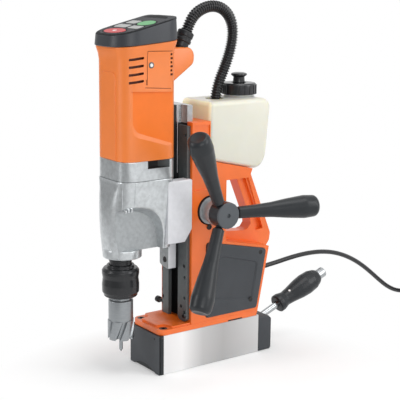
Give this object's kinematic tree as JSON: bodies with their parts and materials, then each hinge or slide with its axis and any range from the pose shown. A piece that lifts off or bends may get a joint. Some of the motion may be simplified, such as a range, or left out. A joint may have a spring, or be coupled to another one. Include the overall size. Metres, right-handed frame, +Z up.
{
  "type": "magnetic base core drill",
  "caption": "Magnetic-base core drill: switchable magnet foot, cast stand with rack feed and star handles, sliding motor head with keypad, quick chuck, core cutter, coolant tank, hose and cord.",
  "frame": {"origin": "centre of the magnet foot's underside", "axes": "+Z up along the spindle and the column, +Y from the drill head towards the lever and the cord, +X towards the feed handles"},
  "size_m": [0.2103, 0.952, 0.6001],
  "materials": {
    "orange_paint": "semi-gloss orange paint on a casting",
    "orange_plastic": "satin orange moulded plastic",
    "cast_aluminium": "blasted cast aluminium",
    "ground_steel": "ground and polished steel",
    "blackened_steel": "blackened steel",
    "black_plastic": "satin black moulded plastic",
    "grey_plastic": "dark grey moulded plastic",
    "pad_grey": "grey membrane",
    "key_grey": "pale grey membrane key",
    "key_red": "red membrane key",
    "key_green": "green membrane key",
    "cream_plastic": "cream translucent plastic",
    "black_rubber": "black rubber",
    "winding": "copper winding on a laminated core",
    "board_green": "green circuit board"
  },
  "bodies": {
    "stand": {"pole_plate": "ground_steel", "foot_shell": "ground_steel", "front_cover": "black_plastic", "rear_cap": "black_plastic", "stand_casting": "orange_paint", "base_bolt_left": "blackened_steel", "base_bolt_right": "blackened_steel", "gib_left": "blackened_steel", "gib_right": "blackened_steel", "side_cover": "grey_plastic", "control_board": "board_green", "feed_bearing": "ground_steel", "hose_socket": "black_plastic", "coolant_tank": "cream_plastic", "cord_gland": "black_rubber", "cord": "black_rubber", "cord_coil": "black_rubber", "cord_tie": "black_plastic", "plug": "black_plastic", "ribbed_hose": "black_rubber"},
    "magnet": {"magnet_pack": "ground_steel"},
    "lever": {"lever_shaft": "ground_steel", "lever_grip": "black_plastic"},
    "lever_release": {"lever_button": "ground_steel"},
    "drill": {"carriage_bar": "ground_steel", "gear_housing": "cast_aluminium", "motor_flange": "cast_aluminium", "motor_housing": "orange_plastic", "stator": "winding", "control_head": "grey_plastic", "keypad": "pad_grey", "hose_connector": "black_plastic", "spindle_bearing_lower": "ground_steel", "spindle_bearing_upper": "ground_steel", "motor_bearing": "ground_steel"},
    "capstan": {"pinion_shaft": "ground_steel", "capstan_hub": "black_plastic", "hub_disc": "black_plastic", "handle_1": "black_plastic", "handle_2": "black_plastic", "handle_3": "black_plastic"},
    "spindle": {"spindle": "ground_steel", "chuck_body": "blackened_steel", "core_cutter": "ground_steel"},
    "chuck_release": {"chuck_sleeve": "blackened_steel"},
    "pilot": {"pilot_pin": "ground_steel"},
    "countershaft": {"counter_gear": "ground_steel"},
    "rotor": {"armature": "ground_steel", "fan": "black_plastic"},
    "stop": {"stop_key": "key_red"},
    "start": {"start_key": "key_green"},
    "slower": {"slower_key": "key_grey"},
    "faster": {"faster_key": "key_grey"},
    "magnet_button": {"magnet_key": "key_grey"},
    "stopper": {"tank_stopper": "black_rubber"},
    "cap": {"tank_cap": "black_plastic"},
    "vent": {"vent_knob": "black_plastic"},
    "guide_lock": {"guide_lock_knob": "black_plastic"}
  },
  "joints": [
    {"name": "magnet_slide", "type": "slide", "parent": "stand", "child": "magnet", "axis": [0, 1, 0], "range_m": [0, 0.00942]},
    {"name": "lever_swing", "type": "hinge", "parent": "stand", "child": "lever", "pos_m": [0, 0.117, 0.036], "axis": [1, 0, 0], "range_deg": [0, 45]},
    {"name": "lever_release_press", "type": "slide", "parent": "lever", "child": "lever_release", "axis": [0, -0.9272, -0.3746], "range_m": [0, 0.004], "stiffness_N_per_m": 1500},
    {"name": "feed_slide", "type": "slide", "parent": "stand", "child": "drill", "axis": [0, 0, 1], "range_m": [-0.08, 0.055], "deforming": ["ribbed_hose"]},
    {"name": "capstan_turn", "type": "hinge", "parent": "stand", "child": "capstan", "pos_m": [0, -0.0055, 0.265], "axis": [1, 0, 0], "range_deg": [-210.1, 305.6]},
    {"name": "spindle_spin", "type": "hinge", "parent": "drill", "child": "spindle", "pos_m": [0, -0.1495, 0.1984], "axis": [0, 0, 1], "continuous": true},
    {"name": "countershaft_spin", "type": "hinge", "parent": "drill", "child": "countershaft", "pos_m": [-0.01972, -0.13218, 0.264], "axis": [0, 0, 1], "continuous": true},
    {"name": "rotor_spin", "type": "hinge", "parent": "drill", "child": "rotor", "pos_m": [0, -0.1185, 0.354], "axis": [0, 0, 1], "continuous": true},
    {"name": "chuck_release_lift", "type": "slide", "parent": "spindle", "child": "chuck_release", "axis": [0, 0, 1], "range_m": [0, 0.006], "stiffness_N_per_m": 2500},
    {"name": "pilot_lift", "type": "slide", "parent": "spindle", "child": "pilot", "axis": [0, 0, 1], "range_m": [0, 0.025], "stiffness_N_per_m": 300},
    {"name": "stop_press", "type": "slide", "parent": "drill", "child": "stop", "axis": [0, 0.2351, -0.972], "range_m": [0, 0.0012], "stiffness_N_per_m": 800},
    {"name": "start_press", "type": "slide", "parent": "drill", "child": "start", "axis": [0, 0.2351, -0.972], "range_m": [0, 0.0012], "stiffness_N_per_m": 800},
    {"name": "slower_press", "type": "slide", "parent": "drill", "child": "slower", "axis": [0, 0.2351, -0.972], "range_m": [0, 0.0012], "stiffness_N_per_m": 800},
    {"name": "faster_press", "type": "slide", "parent": "drill", "child": "faster", "axis": [0, 0.2351, -0.972], "range_m": [0, 0.0012], "stiffness_N_per_m": 800},
    {"name": "magnet_press", "type": "slide", "parent": "drill", "child": "magnet_button", "axis": [0, 0.2351, -0.972], "range_m": [0, 0.0012], "stiffness_N_per_m": 800},
    {"name": "stopper_lift", "type": "slide", "parent": "stand", "child": "stopper", "axis": [0, 0, 1], "range_m": [0, 0.006]},
    {"name": "cap_turn", "type": "hinge", "parent": "stopper", "child": "cap", "pos_m": [0, 0.0835, 0.441], "axis": [0, 0, 1], "range_deg": [0, 540]},
    {"name": "vent_pull", "type": "slide", "parent": "cap", "child": "vent", "axis": [0, 0, 1], "range_m": [0, 0.004]},
    {"name": "guide_lock_turn", "type": "hinge", "parent": "stand", "child": "guide_lock", "pos_m": [-0.038, -0.0444, 0.097], "axis": [1, 0, 0], "range_deg": [0, 170]}
  ],
  "couplings": [
    {"joint": "lever_swing", "follows": "magnet_slide", "rad_per_m": 83.333},
    {"joint": "capstan_turn", "follows": "feed_slide", "rad_per_m": -66.667},
    {"joint": "countershaft_spin", "follows": "spindle_spin", "ratio": -2.5},
    {"joint": "rotor_spin", "follows": "spindle_spin", "ratio": 7.5},
    {"joint": "cap_turn", "follows": "stopper_lift", "rad_per_m": 1570.8}
  ]
}
